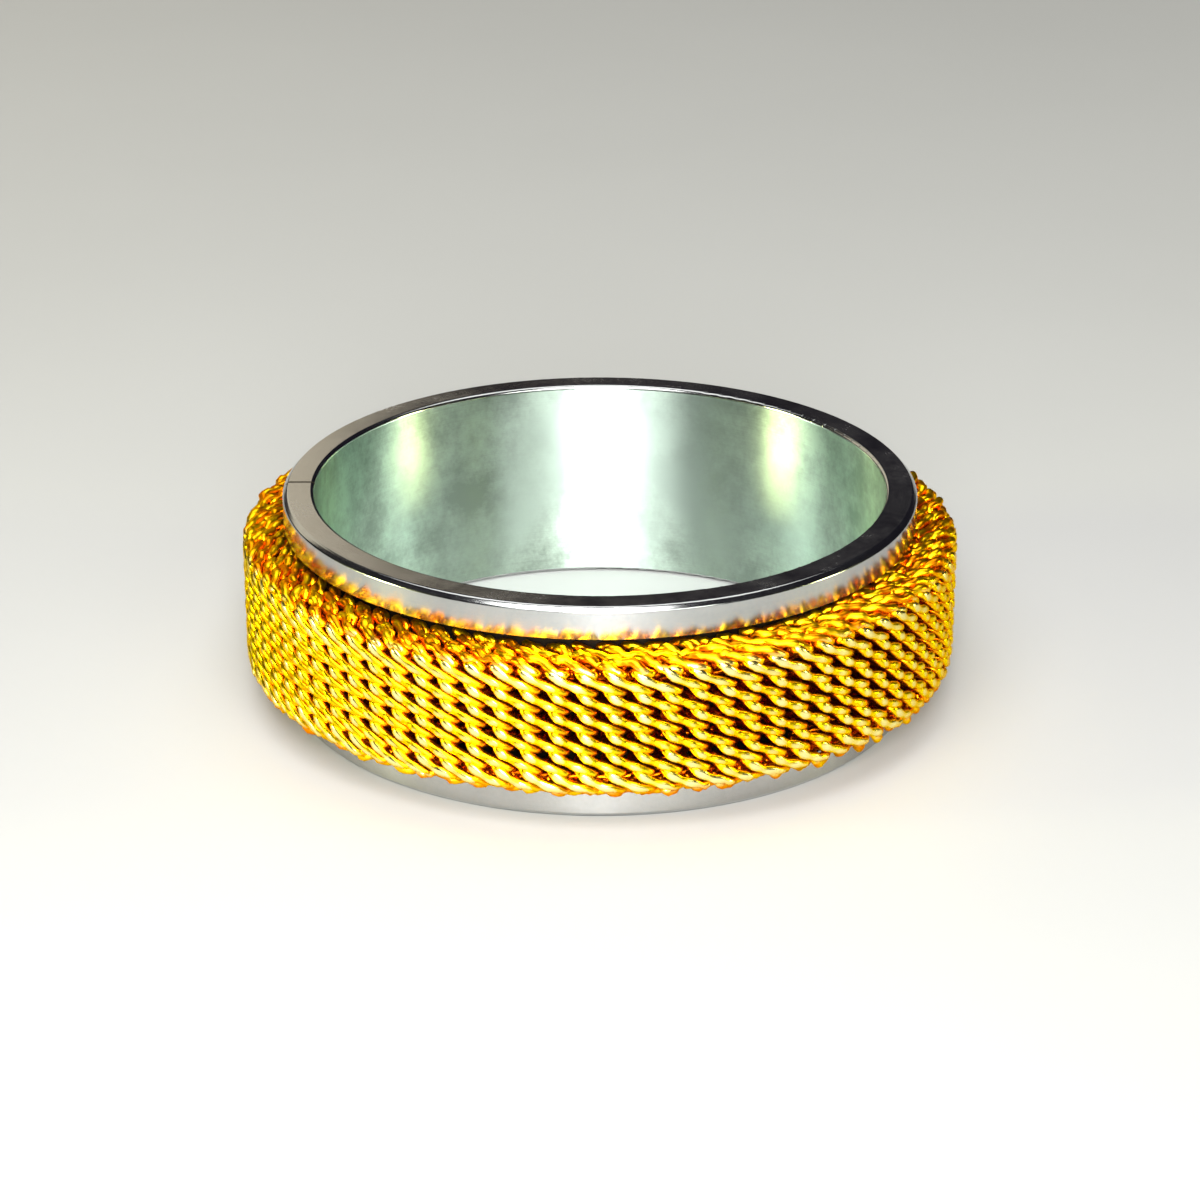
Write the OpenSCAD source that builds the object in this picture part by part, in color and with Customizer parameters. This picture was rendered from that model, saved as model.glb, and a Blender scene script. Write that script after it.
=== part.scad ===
// Spinner ring: a steel band with two polished rims, and between them a woven gold sleeve
// that turns freely in the band's channel.
// The ring lies on its side. +Z is the finger's axis, z = 0 is the side face that it rests on,
// and the face at the top is the one with the closing seam. All sizes are in millimetres.

/* [Band] */
// Inside diameter of the ring
bore_d = 20.6; // [14:0.1:24]
// Thickness of the rims, from the bore to their polished cylinders
rim_wall = 1.15; // [0.9:0.05:2]
// Width of each rim along the finger's axis, its bevel included
rim_w = 1.15; // [0.6:0.05:3]
// Size of the polished bevel on each rim's outer edge
bevel = 0.2; // [0.05:0.05:0.35]
// Radius of the rounded edges of the bore
bore_round = 0.15; // [0.05:0.05:0.3]

/* [Channel] */
// Width of the channel between the rims
channel_w = 5.5; // [3:0.1:9]
// Thickness of the steel under the channel
core_wall = 0.55; // [0.4:0.05:0.85]

/* [Closing seam] */
// Width of the seam across the upper side face
seam_w = 0.12; // [0.03:0.01:0.2]
// Depth of the seam
seam_depth = 0.1; // [0.05:0.01:0.3]
// Direction of the seam round the ring, in degrees from +X
seam_angle = 180; // [0:5:355]

/* [Woven sleeve] */
// Thickness of the woven sleeve
sleeve_t = 2.07; // [1:0.01:3]
// Radial clearance between the sleeve and the channel's floor
run_gap = 0.08; // [0.02:0.01:0.2]
// Clearance between the sleeve and each rim
side_gap = 0.2; // [0.05:0.05:0.4]
// Radius of the sleeve's outer edges
sleeve_round = 0.45; // [0.1:0.05:0.7]
// Radius of the sleeve's inner edges
sleeve_inner_round = 0.15; // [0.05:0.05:0.25]

/* [Weave] */
// Length round the sleeve that one row of the weave takes
row_pitch = 0.97; // [0.7:0.01:2]
// Depth of the valley between two rows
valley_depth = 0.15; // [0.05:0.01:0.25]
// Radius of the valley's rounded bottom
valley_round = 0.25; // [0.2:0.05:0.4]

/* [Hidden] */
$fn = 180;

bore_r = bore_d / 2;
rim_r = bore_r + rim_wall;
channel_r = bore_r + core_wall;
band_w = channel_w + 2 * rim_w;
sleeve_in_r = channel_r + run_gap;
sleeve_out_r = sleeve_in_r + sleeve_t;
sleeve_w = channel_w - 2 * side_gap;
sleeve_z = rim_w + side_gap;
row_n = floor(2 * PI * sleeve_out_r / row_pitch);
// How far a cut runs past the face that it opens
past = 0.5;

// What a rounded edge of the given radius takes away from a square corner at the origin
module corner_waste(radius) {
    difference() {
        square(radius);
        translate([radius, radius]) circle(radius);
    }
}

// The band's section: radius to the right, the finger's axis upwards
module band_section() {
    difference() {
        polygon([
            [bore_r, 0],
            [rim_r - bevel, 0],
            [rim_r, bevel],
            [rim_r, band_w - bevel],
            [rim_r - bevel, band_w],
            [bore_r, band_w]
        ]);
        translate([channel_r, rim_w]) square([rim_wall, channel_w]);
        translate([bore_r, 0]) corner_waste(bore_round);
        translate([bore_r, band_w]) mirror([0, 1]) corner_waste(bore_round);
    }
}

// The sleeve's section, with all four edges rounded
module sleeve_section() {
    difference() {
        translate([sleeve_in_r, sleeve_z]) square([sleeve_t, sleeve_w]);
        translate([sleeve_in_r, sleeve_z]) corner_waste(sleeve_inner_round);
        translate([sleeve_in_r, sleeve_z + sleeve_w]) mirror([0, 1]) corner_waste(sleeve_inner_round);
        translate([sleeve_out_r, sleeve_z]) mirror([1, 0]) corner_waste(sleeve_round);
        translate([sleeve_out_r, sleeve_z + sleeve_w]) rotate(180) corner_waste(sleeve_round);
    }
}

// The fine closing seam, cut into the upper side face from the bore to the outside
module seam_cut() {
    rotate(seam_angle)
        translate([bore_r - past, -seam_w / 2, band_w - seam_depth])
            cube([rim_wall + 2 * past, seam_w, seam_depth + past]);
}

// One valley between two rows of the weave, along the finger's axis
module row_valley() {
    translate([sleeve_out_r + valley_round - valley_depth, 0, rim_w])
        cylinder(r = valley_round, h = channel_w, $fn = 48);
}

module band() {
    color("silver")
        difference() {
            rotate_extrude() band_section();
            seam_cut();
        }
}

module mesh_sleeve() {
    color("gold")
        difference() {
            rotate_extrude() sleeve_section();
            for (row = [0 : row_n - 1]) rotate(row * 360 / row_n) row_valley();
        }
}

band();
mesh_sleeve();
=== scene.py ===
"""Spinner ring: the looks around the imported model. Metres, +Z along the finger's axis,
the ring lies on its side face at z = 0, and the camera looks along +Y and down."""

import math

import bpy
import numpy as np
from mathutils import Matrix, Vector


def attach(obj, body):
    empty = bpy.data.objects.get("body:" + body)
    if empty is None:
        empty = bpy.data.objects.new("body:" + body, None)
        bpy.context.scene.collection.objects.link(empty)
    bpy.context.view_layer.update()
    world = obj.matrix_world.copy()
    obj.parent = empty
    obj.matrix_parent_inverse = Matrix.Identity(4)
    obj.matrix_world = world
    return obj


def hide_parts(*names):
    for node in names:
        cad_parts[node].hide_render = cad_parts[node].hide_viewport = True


MM = 0.001

# the ring, as in the CAD (mm)
BORE_R = 10.3
RIM_WALL = 1.15
RIM_W = 1.15
BEVEL = 0.2
BORE_ROUND = 0.15
CHANNEL_W = 5.5
CORE_WALL = 0.55
SEAM_W = 0.12
SEAM_DEPTH = 0.1
SLEEVE_T = 2.07
RUN_GAP = 0.08
SIDE_GAP = 0.2
ROW_PITCH = 0.97

RIM_R = BORE_R + RIM_WALL
CORE_R = BORE_R + CORE_WALL
BAND_W = CHANNEL_W + 2 * RIM_W
SLEEVE_IN_R = CORE_R + RUN_GAP
SLEEVE_OUT_R = SLEEVE_IN_R + SLEEVE_T
MIDDLE = BAND_W / 2
ROWS = math.floor(2 * math.pi * SLEEVE_OUT_R / ROW_PITCH)

# the weave (mm): each row is two flattened coils, which lie along the finger's axis
WIRE_D = 0.315
HALF_LOOP = 0.86          # half of a loop's length round the ring, between wire centres
LEG_RISE = 0.85           # how far a front leg climbs along the finger's axis
BACK_RISE = 0.49          # the same for a back leg
HOOK_RISE = 0.06          # the same for each of the two hooks between them
# the corners of a front leg, from its high end: (place round the ring, depth under the wires
# at the sleeve's face, how far above a straight slope from end to end it lies, how far from
# the corner its bend starts)
LEG = [
    (0.76, 0.21, 0.029, 0.12),
    (0.62, 0.07, -0.011, 0.14),
    (0.44, 0.0, -0.062, 0.14),
    (0.1, 0.12, -0.094, 0.14),
    (-0.2, 0.02, -0.056, 0.14),
    (-0.52, 0.1, -0.028, 0.14),
    (-0.8, 0.2, -0.02, 0.12),
]
BACK_BEND = 0.45          # where the bends start at the two corners of a loop's inner side
BEND_LIMIT = 0.49         # the share of the way to the next corner that a bend may take
BEND_STEPS = 9            # points in a bend
SAME_PLACE = 1e-6         # points nearer together than this are one point
TURNS = 6                 # turns in each coil, the folded-in ends with them
TURN_STEPS = 32           # steps in a turn
FACE_SHARE = 0.6          # share of those steps on the front leg
LEG_DEPTH = 0.5           # the front leg lies within this depth under the face
WIRE_SIDES = 10
CUT_END = 0.55            # share of its thickness that a wire has at its two ends
WEAVE_PARTS = 4           # the rows are shared out over this many meshes
FIRST_ROW = -math.pi / 2  # the first row faces the camera

# how rolling flattened the mesh (mm)
ROLLED = 0.08             # depth under the sleeve's face to which it pressed the crests
ROLLED_LEFT = 0.3         # share that it left of what stood higher
CREST_DEPTHS = (0.0, 0.07, 0.16)      # a wire this deep under the crests has this share
CREST_WIDTHS = (1.26, 1.03, 0.86)     # of its thickness: rolling spread it there

# the fold of the wires over each edge of the sleeve (mm)
FOLD_R = 0.5
FOLD_RUN = 1.3            # how far the wires run on inwards past it
FOLD_DEPTH = 0.28         # how much of its depth a loop keeps in the fold
FOLD_EASE = 1.0           # it loses the rest over this length before the fold
FOLD_DENTS = 0.09         # how unevenly the wires lie in the fold
FULL_DENTS = math.pi / 4  # past this leaning they lie as unevenly as that

# how unevenly the coils lie (mm)
SEED = 7
JITTER_Z = 0.018          # along the finger's axis
JITTER_R = 0.012          # outwards, and all coils lie this much deeper to make up for it
INNER_PRESS = 0.03        # how far a wire may stray inwards past the sleeve's inner face
EDGE_STRAY = 0.05         # the same for the sleeve's two edges

FACE_R = SLEEVE_OUT_R - WIRE_D / 2    # radius of the outermost wires' centres
BACK_R = SLEEVE_IN_R + WIRE_D / 2     # and of the innermost ones
# half of the sleeve's width, to the centres of the wires at its edges, and the part of it
# that lies before the fold
HALF_WIDTH = BAND_W - RIM_W - SIDE_GAP - MIDDLE - WIRE_D / 2
STRAIGHT = HALF_WIDTH - FOLD_R
TURN_RISE = LEG_RISE + BACK_RISE + 2 * HOOK_RISE

# the colour sockets of a mixing node: its two inputs and its output
MIX_A, MIX_B, MIX_OUT = 6, 7, 2

# noises: cells for each unit of their coordinates, detail, roughness
USUAL_ROUGH = 0.55
GOLD_BROAD = (260.0, 2.0, USUAL_ROUGH)
GOLD_PATCHES = (1500.0, 2.0, USUAL_ROUGH)
GOLD_FINE = (5200.0, 3.0, 0.65)
STEEL_TURNED = (1.6, 4.0, 0.7)
STEEL_CLOUDS = (420.0, 6.0, 0.68)
STEEL_GRAIN = (7000.0, 2.0, USUAL_ROUGH)
STEEL_STAIN = (130.0, 2.0, USUAL_ROUGH)
FLOOR_CLOUDS = (30.0, 3.0, USUAL_ROUGH)

# the gold's colours, and the depths under the sleeve's face (mm) at which they change
YELLOWS = ((0.94, 0.63, 0.004, 1), (0.97, 0.71, 0.005, 1))
# the crests' colour, pale: a painted highlight
CREST_PAINTED_HIGHLIGHT = (1.0, 0.92, 0.40, 1)
# orange painted shade where a wire dips
DIP_PAINTED_SHADE = (0.88, 0.36, 0.003, 1)
# orange painted shade in the fold, varied in patches
FOLD_PAINTED_SHADE_COLOURS = ((0.90, 0.27, 0.003, 1), (0.97, 0.58, 0.006, 1))
# dark painted shade in the gaps between the wires
GAP_PAINTED_SHADE = (0.46, 0.10, 0.001, 1)
GLANCING = (1.0, 0.62, 0.08, 1)       # seen nearly along the surface
CREST_END = (0.055, 0.082)    # each pair is where a change begins and where it ends
DIP = (0.12, 0.24)
GAP_SHADE_DEPTHS = (0.24, 0.48)
FOLD_SHADE_DEPTHS = (0.22, 0.40)
FOLD_START = (0.12, 0.45)     # the fold's colours come in here, past the straight part
YELLOW_SHARES = (0.35, 0.65)  # the part of a noise's values that a change runs over
PATCH_SHARES = (0.42, 0.58)
FINE_SHARES = (0.3, 0.7)
CREST_ROUGH = (0.16, 0.24)    # roughness on the crests, and below them
FINE_ROUGH = (0.0, 0.08)      # what fine marks add to it
FOLD_ROUGH = 0.03             # what the fold adds
GOLD_BUMP = (0.25, 0.004)     # strength of those marks, and their height (mm)

# the steel's looks
TURNED_ROUND = 1.2        # how fast the turned lines change round the ring
TURNED_ACROSS = 34.0      # and across it, for each millimetre
TURNED_SHARE = 0.6        # share of those lines in the marks, and the rest is grain
ROUGH_SHARES = (0.38, 0.62)           # the part of a noise's values, as for the gold
COLOUR_SHARES = (0.40, 0.60)
STAIN_SHARES = (0.5, 0.68)
ACROSS_LINES = 0.25       # a quarter turn from the direction of the lines
STEEL_BUMP = 0.4          # strength of the marks
BEVEL_BREAK = 3.0         # how sharply the bevel's own two edges are broken
BRIGHT = (0.52, 0.53, 0.52, 1)
POLISH = (0.12, 0.20)     # roughness

# the band's finishes, and how they are told apart by where a face lies (mm)
POLISHED, SATIN_SIDE, BORE, CHANNEL_PAINTED_SHADE, BEVELLED, ROUND_EDGE = range(6)
NEAR = 0.03               # a face this near to a surface belongs to it
TOUCHING = 0.001          # a bevel ends this far before the polished cylinder
SEAM_PAST = 0.005         # how far past the seam's sides and floor its faces are looked for
BORE_END = 0.95 * BORE_ROUND          # the bore's finish comes this near to a side face

# the photo's camera (mm, degrees), and how near and far it sees (m)
CAMERA = (0.0, -115.28, 52.87)
AIM = (0.0, 0.0, 3.155)
LENS = 102.66
SENSOR = 36.0
CLIP = (0.01, 10)

# the lights: name, degrees to the right of the front, degrees up, distance and size (mm),
# watts, colour
NEUTRAL = (1.0, 1.0, 1.0)
LIGHTS = [
    ("front_low", 0, 24, 330, (100, 190), 2.2, NEUTRAL),
    ("front_high", 0, 56, 320, (200, 150), 0.45, NEUTRAL),
    ("front_right", 26, 28, 330, (160, 110), 0.30, (0.97, 1.0, 0.94)),
    ("front_left", -23, 26, 330, (110, 110), 0.08, (0.97, 1.0, 0.96)),
    ("top", 180, 76, 300, (320, 180), 0.40, NEUTRAL),
    ("left_low", -80, 12, 330, (70, 60), 0.62, (0.97, 1.0, 0.50)),
    ("right_low", 84, 12, 330, (60, 50), 0.30, (0.97, 1.0, 0.50)),
    ("back_card", 211, 24, 260, (220, 110), 0.07, (1.0, 0.9, 0.7)),
]
LIGHTS_AIM = (0, 0, 4)

# a small light over the floor in front, outside the picture (mm, watts)
POOL_LIGHT = (-12, -42, 60)
POOL_AIM = (-12, -40, 0)
POOL_SIZE = (40, 26)
POOL_POWER = 0.035

# the surroundings, and half of the floor's size (m)
WORLD_COLOUR = (0.09, 0.08, 0.13, 1)
WORLD_STRENGTH = 0.15
FLOOR_HALF = 3.0
FLOOR_COLOURS = ((0.38, 0.38, 0.375, 1), (0.41, 0.41, 0.405, 1))
FLOOR_ROUGH = 0.6


# Shader nodes

def material(name):
    mat = bpy.data.materials.new(name)
    mat.use_nodes = True
    tree = mat.node_tree
    shader = next(n for n in tree.nodes if n.type == "BSDF_PRINCIPLED")
    return mat, tree, shader


def set_inputs(tree, made, values):
    """Link or set each input of this node."""
    for key, value in values.items():
        if isinstance(value, bpy.types.NodeSocket):
            tree.links.new(value, made.inputs[key])
        else:
            made.inputs[key].default_value = value


def node(tree, kind, inputs=None, **props):
    made = tree.nodes.new(kind)
    for key, value in props.items():
        setattr(made, key, value)
    set_inputs(tree, made, inputs or {})
    return made


def math_node(tree, operation, a, b=None):
    inputs = {0: a} if b is None else {0: a, 1: b}
    return node(tree, "ShaderNodeMath", inputs, operation=operation).outputs[0]


def vector_node(tree, operation, inputs):
    return node(tree, "ShaderNodeVectorMath", inputs, operation=operation).outputs[0]


def weighted(tree, a, share, b):
    """This share of a, and the rest of b."""
    return math_node(
        tree, "ADD",
        math_node(tree, "MULTIPLY", a, share),
        math_node(tree, "MULTIPLY", b, 1.0 - share),
    )


def noise(tree, vector, kind):
    scale, detail, rough = kind
    inputs = {"Vector": vector, "Scale": scale, "Detail": detail, "Roughness": rough}
    return node(tree, "ShaderNodeTexNoise", inputs).outputs["Fac"]


def spread(tree, value, span, to=(0.0, 1.0)):
    """The value's place in this span, as a place between two other values."""
    inputs = {
        "Value": value, "From Min": span[0], "From Max": span[1], "To Min": to[0], "To Max": to[1],
    }
    return node(tree, "ShaderNodeMapRange", inputs).outputs["Result"]


def blend_colour(tree, share, a, b):
    """Colour a, with this share of colour b."""
    mixed = node(tree, "ShaderNodeMix", {0: share, MIX_A: a, MIX_B: b}, data_type="RGBA")
    return mixed.outputs[MIX_OUT]


def around(tree):
    """Where the surface lies: the object's own coordinates, and from them the radius and z in
    millimetres and the angle."""
    coords = node(tree, "ShaderNodeTexCoord").outputs["Object"]
    x, y, z = node(tree, "ShaderNodeSeparateXYZ", {"Vector": coords}).outputs
    squares = math_node(
        tree, "ADD", math_node(tree, "MULTIPLY", x, x), math_node(tree, "MULTIPLY", y, y)
    )
    radius = math_node(tree, "DIVIDE", math_node(tree, "SQRT", squares), MM)
    return coords, radius, math_node(tree, "DIVIDE", z, MM), math_node(tree, "ARCTAN2", y, x)


# The gold

def depth_under_face(tree, radius, z):
    """How deep a point of a wire lies under the sleeve's face, which folds in at both edges,
    and how far past the straight part of the face it lies."""
    away = math_node(tree, "ABSOLUTE", math_node(tree, "SUBTRACT", z, MIDDLE))
    rise = math_node(tree, "MAXIMUM", math_node(tree, "SUBTRACT", away, STRAIGHT), 0.0)
    folded = FOLD_R + WIRE_D / 2
    above = math_node(tree, "SUBTRACT", radius, SLEEVE_OUT_R - folded)
    reach = math_node(tree, "MAXIMUM", above, 0.0)
    squares = math_node(
        tree, "ADD",
        math_node(tree, "MULTIPLY", rise, rise),
        math_node(tree, "MULTIPLY", reach, reach),
    )
    return math_node(tree, "SUBTRACT", folded, math_node(tree, "SQRT", squares)), rise


def gold_colour(tree, coords, deep, folded, lower):
    """A painted highlight, pale, on the crests, where lower is 0, yellow below them, painted shade
    in orange where a wire dips and in the fold, and dark painted shade in the gaps."""
    share = spread(tree, noise(tree, coords, GOLD_BROAD), YELLOW_SHARES)
    yellow = blend_colour(tree, share, *YELLOWS)
    patches = spread(tree, noise(tree, coords, GOLD_PATCHES), PATCH_SHARES)
    # the fold's painted shade, orange in patches
    orange = blend_colour(tree, patches, *FOLD_PAINTED_SHADE_COLOURS)
    wire_tone = blend_colour(tree, folded, yellow, orange)
    # painted shade, orange, where a wire dips
    wire_tone = blend_colour(tree, spread(tree, deep, DIP), wire_tone, DIP_PAINTED_SHADE)
    # a painted highlight, pale, on the crests
    face = blend_colour(tree, lower, CREST_PAINTED_HIGHLIGHT, wire_tone)
    # darker painted shade deep in the fold
    fold_shade = math_node(tree, "MULTIPLY", folded, spread(tree, deep, FOLD_SHADE_DEPTHS))
    # dark painted shade in the gaps, deep under the face
    dark_shade = math_node(tree, "MAXIMUM", spread(tree, deep, GAP_SHADE_DEPTHS), fold_shade)
    return blend_colour(tree, dark_shade, face, GAP_PAINTED_SHADE)


def gold_roughness(tree, fine, folded, lower):
    """Polished on the crests, and less so below them and in the fold."""
    rough = math_node(
        tree, "ADD",
        spread(tree, lower, (0.0, 1.0), CREST_ROUGH),
        spread(tree, fine, FINE_SHARES, FINE_ROUGH),
    )
    return math_node(tree, "ADD", rough, math_node(tree, "MULTIPLY", folded, FOLD_ROUGH))


def gold_wire():
    """Plated wire, smoother on the crests, with a painted highlight there, and painted shade where
    the wires dip, in the fold and in the gaps.
    """
    mat, tree, shader = material("gold_wire")
    coords, radius, z, _ = around(tree)
    deep, rise = depth_under_face(tree, radius, z)
    folded = spread(tree, rise, FOLD_START)
    lower = math_node(tree, "MAXIMUM", spread(tree, deep, CREST_END), folded)
    fine = noise(tree, coords, GOLD_FINE)
    strength, height = GOLD_BUMP
    bump = node(
        tree, "ShaderNodeBump", {"Strength": strength, "Distance": height * MM, "Height": fine}
    )
    set_inputs(tree, shader, {
        "Base Color": gold_colour(tree, coords, deep, folded, lower),
        "Metallic": 1.0,
        "Roughness": gold_roughness(tree, fine, folded, lower),
        "Specular Tint": GLANCING,
        "Normal": bump.outputs[0],
    })
    return mat


# The steel band

def profile_parts(tree, radius, height, edge):
    """How far outwards and how far up the ring's turned profile faces: on the bore's round
    edge, or on a bevel whose own edges are broken."""
    if edge == "round":
        side = math_node(tree, "SUBTRACT", radius, BORE_R + BORE_ROUND)
        return side, math_node(tree, "SUBTRACT", height, MIDDLE - BORE_ROUND)
    across = spread(tree, radius, (RIM_R - BEVEL, RIM_R), (-1.0, 1.0))
    bent = math_node(tree, "POWER", math_node(tree, "ABSOLUTE", across), BEVEL_BREAK)
    lean = math_node(tree, "MULTIPLY", math_node(tree, "SIGN", across), bent)
    angle = math_node(tree, "MULTIPLY", math_node(tree, "SUBTRACT", 1.0, lean), math.pi / 4)
    return math_node(tree, "COSINE", angle), math_node(tree, "SINE", angle)


def profile_normal(tree, coords, radius, z, edge):
    """World normal of the ring's turned profile at one of its edges."""
    away = math_node(tree, "SUBTRACT", z, MIDDLE)
    up = math_node(tree, "SIGN", away)
    side, rise = profile_parts(tree, radius, math_node(tree, "ABSOLUTE", away), edge)
    flat = vector_node(tree, "MULTIPLY", {0: coords, 1: (1, 1, 0)})
    outward = vector_node(tree, "NORMALIZE", {0: flat})
    scaled = vector_node(tree, "SCALE", {0: outward, "Scale": side})
    upward = node(
        tree, "ShaderNodeCombineXYZ", {0: 0.0, 1: 0.0, 2: math_node(tree, "MULTIPLY", rise, up)}
    )
    both = vector_node(tree, "ADD", {0: scaled, 1: upward.outputs[0]})
    world = node(
        tree, "ShaderNodeVectorTransform", {0: both},
        vector_type="NORMAL", convert_from="OBJECT", convert_to="WORLD",
    )
    return vector_node(tree, "NORMALIZE", {0: world.outputs[0]})


def turned_lines(tree, radius, z, angle):
    """Fine lines that run round the ring."""
    along = [
        math_node(tree, "MULTIPLY", math_node(tree, turn, angle), TURNED_ROUND)
        for turn in ("COSINE", "SINE")
    ]
    across = math_node(tree, "MULTIPLY", math_node(tree, "ADD", z, radius), TURNED_ACROSS)
    place = node(tree, "ShaderNodeCombineXYZ", {0: along[0], 1: along[1], 2: across})
    return noise(tree, place.outputs[0], STEEL_TURNED)


def steel(name, rough, tint, brushed=0.0, height=0.002, cloudy=0.5, dark=0.86,
          edge=None, stain_and_reflection_tint=None):
    """Steel with fine lines round the ring. Brushed stretches its reflections across them, height
    is that of its marks in mm, cloudy the share of the clouds in its looks, dark how much of the
    tint is left in them, edge the name of a turned edge, and the last one the colour of wide faint
    clouds of random tone, which in the bore also carry a painted tint of reflected colour."""
    mat, tree, shader = material(name)
    coords, radius, z, angle = around(tree)
    turned = turned_lines(tree, radius, z, angle)
    marks = weighted(tree, turned, TURNED_SHARE, noise(tree, coords, STEEL_GRAIN))
    both = weighted(tree, noise(tree, coords, STEEL_CLOUDS), cloudy, marks)
    darker = tuple(c * dark for c in tint[:3]) + (1,)
    colour = blend_colour(tree, spread(tree, both, COLOUR_SHARES), darker, tint)
    # wide clouds of another colour: random tone, and in the bore also a painted tint of reflected
    # colour
    if stain_and_reflection_tint:
        wide = spread(tree, noise(tree, coords, STEEL_STAIN), STAIN_SHARES)
        colour = blend_colour(tree, wide, colour, stain_and_reflection_tint)
    bump = {"Strength": STEEL_BUMP, "Distance": height * MM, "Height": marks}
    if edge:
        bump["Normal"] = profile_normal(tree, coords, radius, z, edge)
    set_inputs(tree, shader, {
        "Base Color": colour,
        "Metallic": 1.0,
        "Roughness": spread(tree, both, ROUGH_SHARES, rough),
        "Anisotropic": brushed,
        "Normal": node(tree, "ShaderNodeBump", bump).outputs[0],
    })
    if brushed:
        tangent = node(tree, "ShaderNodeTangent", direction_type="RADIAL", axis="Z")
        set_inputs(tree, shader, {
            "Anisotropic Rotation": ACROSS_LINES,
            "Tangent": tangent.outputs[0],
        })
    return mat


def band_finishes():
    """The band's materials, in the order of their numbers."""
    return [
        steel("steel_polished", rough=POLISH, tint=BRIGHT, brushed=0.7, height=0.0006),
        steel(
            "steel_satin_side", rough=(0.17, 0.28), tint=(0.62, 0.61, 0.58, 1),
            cloudy=0.6, dark=0.7,
        ),
        # greenish tint and cloud colour: a painted reflection of greenish surroundings; the
        # clouds' pattern is random tone
        steel(
            "steel_brushed_bore", rough=(0.34, 0.48), tint=(0.71, 0.86, 0.74, 1),
            brushed=1.0, height=0.003, cloudy=0.75, dark=0.5, stain_and_reflection_tint=(0.58, 0.70, 0.62, 1),
        ),
        # near-black: painted shade in the channel under the wires; the seam's groove takes it too
        steel(
            "steel_channel_painted_shade", rough=(0.45, 0.6), tint=(0.04, 0.03, 0.02, 1), height=0.004,
        ),
        steel("steel_bevel", rough=POLISH, tint=BRIGHT, height=0.0006, edge="bevel"),
        steel("steel_round_edge", rough=POLISH, tint=BRIGHT, height=0.0006, edge="round"),
    ]


def finish_at(x, y, z):
    """The number of the finish of a face of the band that has its centre here (mm)."""
    radius = math.hypot(x, y)
    from_side = min(z, BAND_W - z)
    between_seam_sides = x < -BORE_R and abs(y) < SEAM_W / 2 + SEAM_PAST
    # the seam's groove and the channel take the near-black finish, which is painted shade in the
    # channel
    if between_seam_sides and 0 < BAND_W - z - SEAM_PAST < SEAM_DEPTH:
        return CHANNEL_PAINTED_SHADE
    if from_side > BEVEL and CORE_R - NEAR < radius < RIM_R - NEAR:
        return CHANNEL_PAINTED_SHADE
    if radius < BORE_R + NEAR and from_side > BORE_END:
        return BORE
    if radius < BORE_R + BORE_ROUND and from_side < BORE_ROUND:
        return ROUND_EDGE
    if radius > RIM_R - BEVEL and from_side < BEVEL - TOUCHING:
        return BEVELLED
    if from_side < NEAR:
        return SATIN_SIDE
    return POLISHED


def dress_band(band):
    """Polished outside, satin side faces and a brushed bore, by where each face lies."""
    mesh = band.data
    mesh.materials.clear()
    for mat in band_finishes():
        mesh.materials.append(mat)
    for poly in mesh.polygons:
        poly.material_index = finish_at(*(c / MM for c in poly.center))


# The weave

def bent_turn():
    """One turn of a coil, as points (place round the ring, radius, z) in mm, from z = 0 down:
    each corner is rounded by a curve that both its sides touch."""
    slope = LEG_RISE / (2 * HALF_LOOP)
    corners = [(u, FACE_R - deep, above - (HALF_LOOP - u) * slope) for u, deep, above, _ in LEG]
    corners.append((-HALF_LOOP, BACK_R, -LEG_RISE - HOOK_RISE))
    corners.append((HALF_LOOP, BACK_R, HOOK_RISE - TURN_RISE))
    corners = np.array(corners)
    bends = [bend for _, _, _, bend in LEG] + [BACK_BEND, BACK_BEND]
    befores = np.concatenate([corners[-1:] + (0, 0, TURN_RISE), corners[:-1]])
    afters = np.concatenate([corners[1:], corners[:1] - (0, 0, TURN_RISE)])
    points = []
    for before, here, after, bend in zip(befores, corners, afters, bends):
        start, end = (
            here + (other - here) * min(bend / np.linalg.norm(other - here), BEND_LIMIT)
            for other in (before, after)
        )
        for t in np.linspace(0, 1, BEND_STEPS):
            points.append((1 - t) ** 2 * start + 2 * t * (1 - t) * here + t * t * end)
    return np.array(points)


def stepped(line):
    """The same line in even steps, which are shorter on the front legs."""
    piece = np.linalg.norm(np.diff(line, axis=0), axis=1)
    on_face = line[1:, 1] > FACE_R - LEG_DEPTH
    share = piece[on_face].sum() / piece.sum()
    piece[on_face] *= FACE_SHARE / share
    piece[~on_face] *= (1 - FACE_SHARE) / (1 - share)
    arc = np.append(0, np.cumsum(piece))
    at = np.linspace(0, arc[-1], TURN_STEPS * TURNS + 1)
    return np.stack([np.interp(at, arc, line[:, k]) for k in range(3)], axis=1)


def coil_line():
    """Centreline of one coil, in the same terms as one turn."""
    turn = bent_turn()
    line = np.concatenate([turn - (0, 0, k * TURN_RISE) for k in range(TURNS)])
    apart = np.linalg.norm(np.diff(line, axis=0), axis=1) > SAME_PLACE
    return stepped(line[np.append(True, apart)])


def fold(deep, along):
    """Radius, z and the leaning of the profile for points this deep under the sleeve's face,
    this far along it from the sleeve's middle. Past each edge the face turns inwards."""
    side = np.sign(along)
    over = np.abs(along) - STRAIGHT
    lean = np.clip(over / FOLD_R, 0, np.pi / 2)
    inward = np.maximum(over - FOLD_R * np.pi / 2, 0)
    ease = np.clip(1 + over / FOLD_EASE, 0, 1)
    deep = deep * (1 + (FOLD_DEPTH - 1) * ease * ease * (3 - 2 * ease))
    radius = FACE_R - FOLD_R + (FOLD_R - deep) * np.cos(lean) - inward
    height = np.minimum(over, 0) + STRAIGHT + (FOLD_R - deep) * np.sin(lean)
    return radius, MIDDLE + side * height, side * lean


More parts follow.
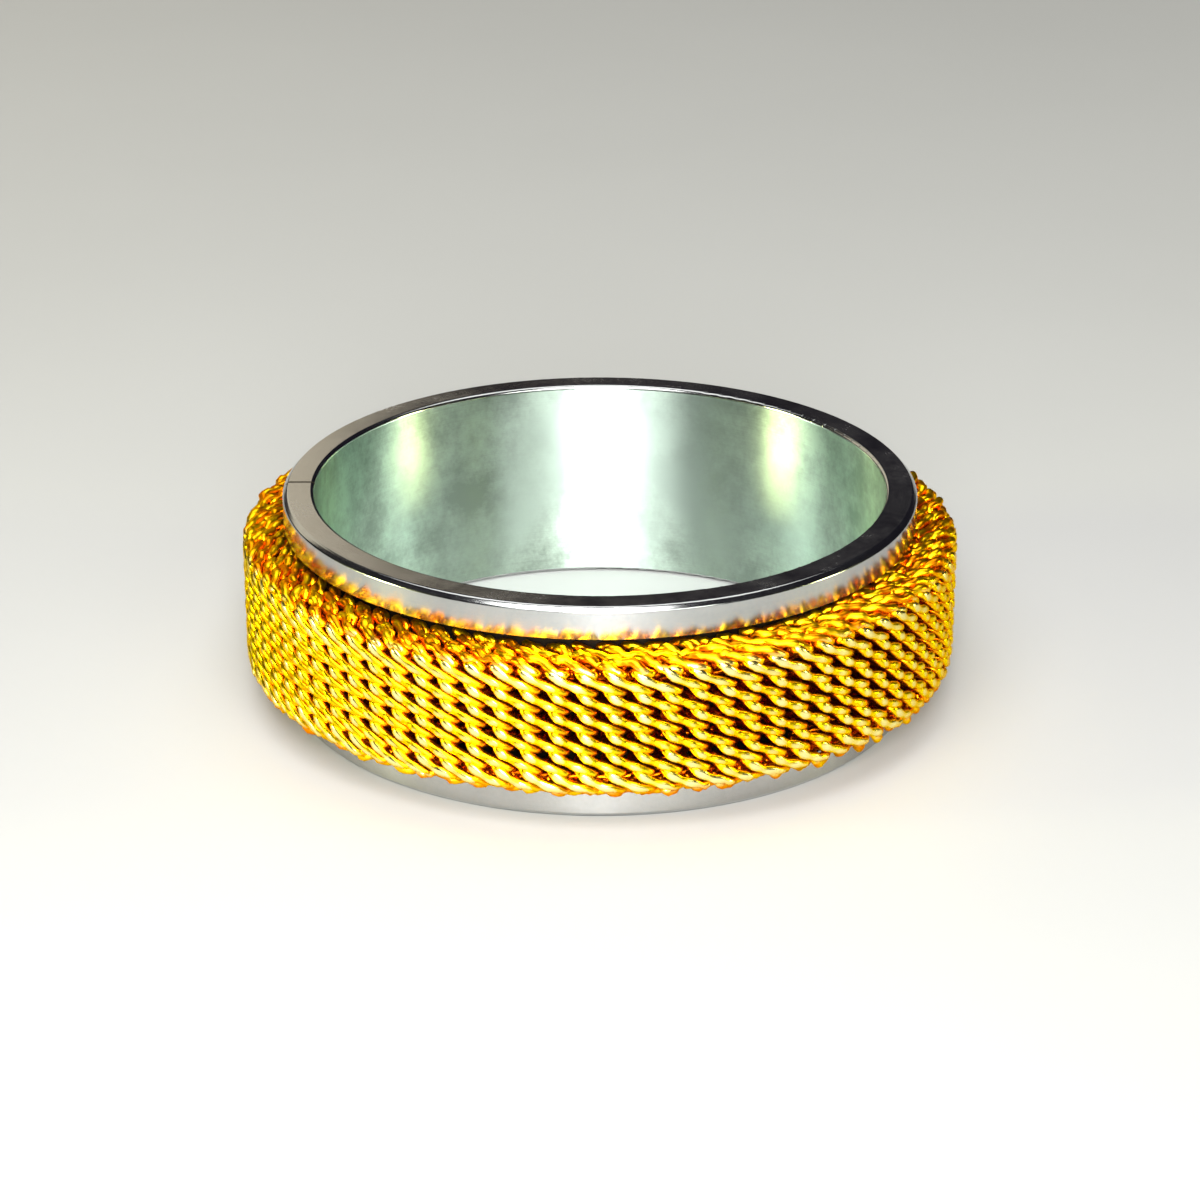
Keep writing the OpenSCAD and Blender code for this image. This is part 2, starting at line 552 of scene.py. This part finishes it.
def uneven_coil(line, half, random):
    """Radius, z and leaning of the points of a row's first or second coil (half is 0 or 1), as
    unevenly as the coils lie, and which of those points are within its length."""
    turns = np.arange(len(line)) / TURN_STEPS
    knots = random.standard_normal((TURNS + 2, 2))
    stray_z, stray_r = (np.interp(turns, np.arange(TURNS + 2), knots[:, k]) for k in (0, 1))
    along = line[:, 2] + TURN_RISE * (TURNS / 2 - half / 2) + JITTER_Z * stray_z
    half_length = HALF_WIDTH + FOLD_R * (np.pi / 2 - 1) + FOLD_RUN
    radius, z, lean = fold(FACE_R - line[:, 1], along)
    radius = radius + JITTER_R * stray_r - JITTER_R
    crushed = np.clip(np.abs(lean) / FULL_DENTS, 0, 1)
    dents = random.standard_normal((len(line) + 2, 2))
    dents = (dents[:-2] + dents[1:-1] + dents[2:]) / 3
    radius = radius + FOLD_DENTS * crushed * dents[:, 0]
    radius = np.maximum(radius, BACK_R - INNER_PRESS)
    z = z + FOLD_DENTS * crushed * dents[:, 1]
    widest = HALF_WIDTH + EDGE_STRAY
    z = np.clip(z, MIDDLE - widest, MIDDLE + widest)
    return radius, z, lean, np.abs(along) < half_length


def tube(line, up, radius):
    """A tube of these radii round a line that never runs along up: its points, in rings."""
    tangent = np.gradient(line, axis=0)
    tangent /= np.linalg.norm(tangent, axis=1, keepdims=True)
    side = up - tangent * (tangent * up).sum(axis=1, keepdims=True)
    side /= np.linalg.norm(side, axis=1, keepdims=True)
    out = np.cross(tangent, side)
    turn = np.linspace(0, 2 * np.pi, WIRE_SIDES, endpoint=False)[None, :, None]
    ring = side[:, None] * np.cos(turn) + out[:, None] * np.sin(turn)
    scale = radius.copy()
    scale[[0, -1]] *= CUT_END
    return (line[:, None] + ring * scale[:, None, None]).reshape(-1, 3)


def rolled(points):
    """The same points, pressed in to where rolling flattened the outside of the mesh."""
    radius = np.hypot(points[:, 0], points[:, 1])
    flat = SLEEVE_OUT_R - ROLLED
    pressed = np.where(radius > flat, flat + (radius - flat) * ROLLED_LEFT, radius)
    return points * np.stack([pressed / radius, pressed / radius, np.ones(len(points))], axis=1)


def tube_faces(rings, start):
    """Quads of a tube whose first point is number start, and its two end caps."""
    i = np.arange(rings - 1)[:, None] * WIRE_SIDES
    j = np.arange(WIRE_SIDES)[None, :]
    k = (j + 1) % WIRE_SIDES
    corners = [i + j, i + k, i + WIRE_SIDES + k, i + WIRE_SIDES + j]
    quads = np.stack(corners, axis=-1).reshape(-1, 4)
    first = start + np.arange(WIRE_SIDES)
    last = first + (rings - 1) * WIRE_SIDES
    return quads + start, [first[::-1].tolist(), last.tolist()]


def mesh_from(name, points, quads, caps):
    mesh = bpy.data.meshes.new(name)
    faces = quads.tolist() + caps
    mesh.from_pydata((points * MM).tolist(), [], faces)
    mesh.polygons.foreach_set("use_smooth", [True] * len(quads) + [False] * len(caps))
    mesh.update()
    made = bpy.data.objects.new(name, mesh)
    bpy.context.scene.collection.objects.link(made)
    return made


def upright(heights):
    """Vectors along the finger's axis, of these lengths."""
    return np.stack([0 * heights, 0 * heights, heights], axis=1)


def woven_rows(name, rows, line, random):
    """A mesh of the coils in these rows."""
    points, quads, caps, start = [], [], [], 0
    pitch = 2 * np.pi / ROWS
    thick = WIRE_D / 2 * np.interp(FACE_R - line[:, 1], CREST_DEPTHS, CREST_WIDTHS)
    for row in rows:
        angle = FIRST_ROW - (line[:, 0] / SLEEVE_OUT_R + row * pitch)
        out = np.stack([np.cos(angle), np.sin(angle), 0 * angle], axis=1)
        for half in (0, 1):
            radius, z, lean, kept = uneven_coil(line, half, random)
            centre = (out * radius[:, None] + upright(z))[kept]
            up = (upright(np.cos(lean)) - out * np.sin(lean)[:, None])[kept]
            points.append(rolled(tube(centre, up, thick[kept])))
            sides, ends = tube_faces(len(centre), start)
            quads.append(sides)
            caps += ends
            start += len(points[-1])
    return mesh_from(name, np.concatenate(points), np.concatenate(quads), caps)


def woven_sleeve(mat):
    """The sleeve's wires, in place of its solid."""
    line = coil_line()
    random = np.random.default_rng(SEED)
    for part, rows in enumerate(np.array_split(np.arange(ROWS), WEAVE_PARTS), 1):
        made = woven_rows(f"woven_sleeve_{part}", rows, line, random)
        made.data.materials.append(mat)
        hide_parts("mesh_sleeve")
        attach(made, "spinner")


# The studio

def floor():
    h = FLOOR_HALF
    mesh = bpy.data.meshes.new("floor")
    mesh.from_pydata([(-h, -h, 0), (h, -h, 0), (h, h, 0), (-h, h, 0)], [], [(0, 1, 2, 3)])
    made = bpy.data.objects.new("floor", mesh)
    bpy.context.scene.collection.objects.link(made)
    mat, tree, shader = material("floor_pale")
    coords = node(tree, "ShaderNodeTexCoord").outputs["Object"]
    colour = blend_colour(tree, noise(tree, coords, FLOOR_CLOUDS), *FLOOR_COLOURS)
    set_inputs(tree, shader, {"Base Color": colour, "Roughness": FLOOR_ROUGH})
    made.data.materials.append(mat)


def placed(name, data, place, target):
    """A light or a camera that looks from its place at a target (mm)."""
    made = bpy.data.objects.new(name, data)
    bpy.context.scene.collection.objects.link(made)
    made.location = Vector(place) * MM
    aim = Vector(target) - Vector(place)
    made.rotation_euler = aim.to_track_quat("-Z", "Y").to_euler()
    return made


def softbox(name, place, target, size, power, colour):
    lamp = bpy.data.lights.new(name, "AREA")
    lamp.shape = "RECTANGLE"
    lamp.size, lamp.size_y = (s * MM for s in size)
    lamp.energy = power
    lamp.color = colour
    placed(name, lamp, place, target)


def studio():
    world = bpy.data.worlds.new("studio")
    bpy.context.scene.world = world
    world.use_nodes = True
    back = world.node_tree.nodes["Background"]
    back.inputs["Color"].default_value = WORLD_COLOUR
    back.inputs["Strength"].default_value = WORLD_STRENGTH
    for name, azimuth, height, away, size, power, colour in LIGHTS:
        turn, rise = math.radians(azimuth), math.radians(height)
        flat = away * math.cos(rise)
        place = (flat * math.sin(turn), -flat * math.cos(turn), away * math.sin(rise))
        softbox(name, place, LIGHTS_AIM, size, power, colour)
    softbox("floor_pool", POOL_LIGHT, POOL_AIM, POOL_SIZE, POOL_POWER, NEUTRAL)


def camera():
    cam = bpy.data.cameras.new("camera")
    cam.lens = LENS
    cam.sensor_width = SENSOR
    cam.clip_start, cam.clip_end = CLIP
    bpy.context.scene.camera = placed("camera", cam, CAMERA, AIM)
    bpy.context.scene.view_settings.view_transform = "Standard"


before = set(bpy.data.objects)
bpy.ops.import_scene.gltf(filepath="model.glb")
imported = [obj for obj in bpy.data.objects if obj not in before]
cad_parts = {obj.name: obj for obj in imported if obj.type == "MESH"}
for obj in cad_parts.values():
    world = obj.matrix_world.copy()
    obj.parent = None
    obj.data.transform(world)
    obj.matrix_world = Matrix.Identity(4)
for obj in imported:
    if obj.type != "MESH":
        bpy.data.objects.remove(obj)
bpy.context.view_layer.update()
camera()
studio()
floor()
dress_band(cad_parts["band"])
woven_sleeve(gold_wire())
